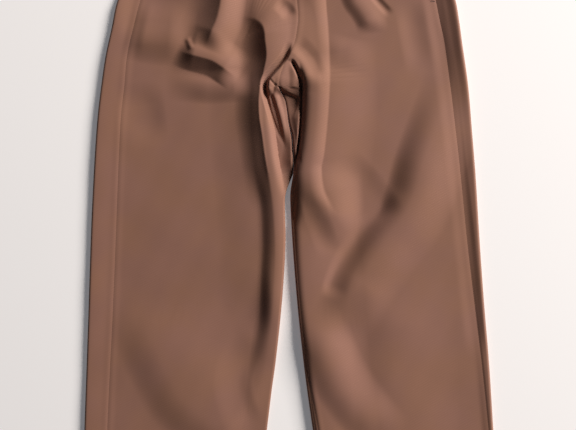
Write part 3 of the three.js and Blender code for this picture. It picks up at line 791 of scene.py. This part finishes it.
def twill_group():
    """Twill: a colour, a height and a roughness that change over the cloth."""
    tree = bpy.data.node_groups.new("twill_weave", "ShaderNodeTree")
    face = tree.interface
    for name, kind, value in (("Colour", "NodeSocketColor", (0.25, 0.13, 0.1, 1)),
                              ("Rib scale", "NodeSocketFloat", RIB_SCALE),
                              ("Mottle", "NodeSocketFloat", 0.06),
                              ("Hue drift", "NodeSocketFloat", 0.5),
                              ("Edge wear", "NodeSocketFloat", 0.3),
                              ("Roughness", "NodeSocketFloat", 0.8)):
        face.new_socket(name, in_out="INPUT", socket_type=kind).default_value = value
    face.new_socket("Colour", in_out="OUTPUT", socket_type="NodeSocketColor")
    face.new_socket("Height", in_out="OUTPUT", socket_type="NodeSocketFloat")
    face.new_socket("Roughness", in_out="OUTPUT", socket_type="NodeSocketFloat")
    link = tree.links.new
    inlet = node(tree, "NodeGroupInput")
    outlet = node(tree, "NodeGroupOutput")
    chart = node(tree, "ShaderNodeTexCoord")

    def noise(scale, detail):
        made = node(tree, "ShaderNodeTexNoise", {"Scale": scale, "Detail": detail})
        link(chart.outputs["UV"], made.inputs["Vector"])
        return made

    def combine(operation, first, second=None, third=None):
        """A calculation of up to three terms, each a number or another node's output."""
        made = node(tree, "ShaderNodeMath", operation=operation)
        for place, term in enumerate((first, second, third)):
            if isinstance(term, (int, float)):
                made.inputs[place].default_value = term
            elif term is not None:
                link(term, made.inputs[place])
        return made.outputs[0]

    def rubbed(measure, start, end):
        """One at the start of a stretch, none at its end."""
        made = node(tree, "ShaderNodeMapRange", {"From Min": start, "From Max": end,
                                                 "To Min": 1.0, "To Max": 0.0})
        link(measure, made.inputs["Value"])
        return made.outputs[0]

    # ribs that slant across the cloth, and the yarn's own unevenness
    turn = node(tree, "ShaderNodeVectorRotate", {"Angle": TWILL_ANGLE}, rotation_type="Z_AXIS")
    link(chart.outputs["UV"], turn.inputs["Vector"])
    ribs = node(tree, "ShaderNodeTexWave", {"Distortion": 0.6, "Detail": 1.0},
                wave_type="BANDS", bands_direction="X")
    link(inlet.outputs["Rib scale"], ribs.inputs["Scale"])
    link(turn.outputs[0], ribs.inputs["Vector"])
    yarn = noise(1400.0, 2.0)
    broad = noise(22.0, 4.0)
    link(combine("MULTIPLY_ADD", yarn.outputs["Fac"], 0.4, ribs.outputs["Fac"]),
         outlet.inputs["Height"])
    # light and dark: ribs and broad blotches
    blotch = combine("SUBTRACT", broad.outputs["Fac"], 0.5)
    amount = combine("MULTIPLY", blotch, inlet.outputs["Mottle"])
    tone = combine("ADD", combine("MULTIPLY_ADD", ribs.outputs["Fac"], 0.04, 0.98), amount)
    # patches that lean to a warmer hue
    patches = noise(11.0, 2.0)
    lean = node(tree, "ShaderNodeMapRange", {"From Min": 0.38, "From Max": 0.62})
    link(patches.outputs["Fac"], lean.inputs["Value"])
    tint = node(tree, "ShaderNodeMix", {"B": (0.98, 0.97, 0.80, 1)}, data_type="RGBA",
                blend_type="MULTIPLY")
    link(combine("MULTIPLY", lean.outputs[0], inlet.outputs["Hue drift"]), tint.inputs["Factor"])
    link(inlet.outputs["Colour"], tint.inputs["A"])
    # wear along the rolled sides and the hem
    spot = node(tree, "ShaderNodeSeparateXYZ")
    link(chart.outputs["UV"], spot.inputs[0])
    off_side = combine("ABSOLUTE", spot.outputs["X"])
    rub = combine("MAXIMUM", rubbed(off_side, 0.0, SIDE_RUB * MM),
                  rubbed(spot.outputs["Y"], -LENGTH * MM, (HEM_RUB - LENGTH) * MM))
    worn = combine("MULTIPLY", combine("MULTIPLY", rub, broad.outputs["Fac"]),
                   inlet.outputs["Edge wear"])
    lighter = node(tree, "ShaderNodeMix", {"B": (0.48, 0.34, 0.28, 1)}, data_type="RGBA",
                   blend_type="MIX")
    link(worn, lighter.inputs["Factor"])
    link(tint.outputs["Result"], lighter.inputs["A"])
    shade = node(tree, "ShaderNodeHueSaturation")
    link(lighter.outputs["Result"], shade.inputs["Color"])
    link(tone, shade.inputs["Value"])
    link(shade.outputs["Color"], outlet.inputs["Colour"])
    link(combine("MULTIPLY_ADD", yarn.outputs["Fac"], -0.08, inlet.outputs["Roughness"]),
         outlet.inputs["Roughness"])
    return tree


def cloth_material(name, twill, colour, mottle, roughness):
    material = bpy.data.materials.new(name)
    material.use_nodes = True
    tree = material.node_tree
    surface = tree.nodes["Principled BSDF"]
    surface.inputs["Sheen Weight"].default_value = 0.15
    surface.inputs["Sheen Roughness"].default_value = 0.45
    surface.inputs["Sheen Tint"].default_value = (1.0, 0.82, 0.74, 1)
    surface.inputs["Specular IOR Level"].default_value = 0.2
    weave = node(tree, "ShaderNodeGroup",
                 {"Colour": (*colour, 1), "Mottle": mottle, "Roughness": roughness},
                 node_tree=twill)
    bump = node(tree, "ShaderNodeBump", {"Strength": 0.35, "Distance": 0.0002})
    tree.links.new(weave.outputs["Colour"], surface.inputs["Base Color"])
    tree.links.new(weave.outputs["Roughness"], surface.inputs["Roughness"])
    tree.links.new(weave.outputs["Height"], bump.inputs["Height"])
    tree.links.new(bump.outputs["Normal"], surface.inputs["Normal"])
    return material


def thread_material():
    """Spun thread: a fine twist along each stitch."""
    material = bpy.data.materials.new("brown_thread")
    material.use_nodes = True
    tree = material.node_tree
    surface = tree.nodes["Principled BSDF"]
    surface.inputs["Roughness"].default_value = 0.6
    surface.inputs["Sheen Weight"].default_value = 0.2
    place = node(tree, "ShaderNodeTexCoord")
    twist = node(tree, "ShaderNodeTexWave", {"Scale": 500.0}, wave_type="BANDS",
                 bands_direction="DIAGONAL")
    tree.links.new(place.outputs["Object"], twist.inputs["Vector"])
    colours = node(tree, "ShaderNodeMix",
                   {"A": (0.19, 0.092, 0.066, 1), "B": (0.27, 0.135, 0.10, 1)}, data_type="RGBA")
    tree.links.new(twist.outputs["Fac"], colours.inputs["Factor"])
    tree.links.new(colours.outputs["Result"], surface.inputs["Base Color"])
    bump = node(tree, "ShaderNodeBump", {"Strength": 0.3, "Distance": 0.00005})
    tree.links.new(twist.outputs["Fac"], bump.inputs["Height"])
    tree.links.new(bump.outputs["Normal"], surface.inputs["Normal"])
    return material


CLOTH_COLOUR = (0.250, 0.121, 0.087)

# ---- Pieces ----

twill = twill_group()
cloth = cloth_material("brown_twill", twill, CLOTH_COLOUR, 0.10, 0.82)

made = {}
for side in ("right", "left"):
    made[f"{side}_front"] = front_panel(side)
    made[f"{side}_back"] = back_panel(side)
made["waistband"] = waistband()
for node_name, piece in made.items():
    thicken(piece, BAND_CLOTH if node_name == "waistband" else CLOTH)
    piece.data.materials.clear()
    piece.data.materials.append(cloth)
    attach(piece, "root")
    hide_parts(node_name)

thread = thread_material()
threads_on = {node_name: [] for node_name in made}
for row, node_name in sewing():
    row.data.materials.append(thread)
    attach(row, "root")
    threads_on[node_name].append(row)

# ---- Floor, light and camera ----


def pale_floor():
    bpy.ops.object.select_all(action="DESELECT")
    bpy.ops.mesh.primitive_plane_add(size=8, location=(0, 0, 0))
    floor = bpy.context.object
    floor.name = "floor"
    material = bpy.data.materials.new("pale_floor")
    material.use_nodes = True
    surface = material.node_tree.nodes["Principled BSDF"]
    surface.inputs["Base Color"].default_value = (0.80, 0.76, 0.745, 1)
    surface.inputs["Roughness"].default_value = 0.9
    surface.inputs["Specular IOR Level"].default_value = 0.1
    # painted light: the floor glows faintly, which lifts the shadows cast on it and lights the cloth a
    # little from below
    surface.inputs["Emission Color"].default_value = (0.95, 0.95, 1.0, 1)
    surface.inputs["Emission Strength"].default_value = 0.16
    floor.data.materials.append(material)


def soft_light(name, azimuth, elevation, distance, size, power, colour):
    """An area light aimed at the middle; azimuth 0 is +x and 90 is +y."""
    light = bpy.data.lights.new(name, "AREA")
    light.shape = "SQUARE"
    light.size = size
    light.energy = power
    light.color = colour
    lamp = bpy.data.objects.new(name, light)
    bpy.context.scene.collection.objects.link(lamp)
    a, e = math.radians(azimuth), math.radians(elevation)
    lamp.location = (distance * math.cos(a) * math.cos(e), distance * math.sin(a) * math.cos(e),
                     distance * math.sin(e))
    lamp.rotation_euler = (0, math.pi / 2 - e, a)


VIEW_WIDTH = 921.6          # what the camera takes in from side to side, at the floor
VIEW_MIDDLE_X = -4.0
VIEW_MIDDLE_DOWN = 505.6
LENS = 50.0
SENSOR = 36.0


def camera_above():
    data = bpy.data.cameras.new("camera")
    data.lens = LENS
    data.sensor_width = SENSOR
    camera = bpy.data.objects.new("camera", data)
    bpy.context.scene.collection.objects.link(camera)
    distance = VIEW_WIDTH * LENS / SENSOR
    camera.location = (VIEW_MIDDLE_X * MM, (LENGTH / 2 - VIEW_MIDDLE_DOWN) * MM, distance * MM)
    bpy.context.scene.camera = camera


pale_floor()
soft_light("window", azimuth=34, elevation=24, distance=7.0, size=2.6, power=1080,
           colour=(1.0, 0.97, 0.93))
world = bpy.data.worlds.new("room")
world.use_nodes = True
world.node_tree.nodes["Background"].inputs["Color"].default_value = (0.78, 0.87, 1.0, 1)
world.node_tree.nodes["Background"].inputs["Strength"].default_value = 0.05
bpy.context.scene.world = world
bpy.context.scene.view_settings.view_transform = "Standard"
camera_above()
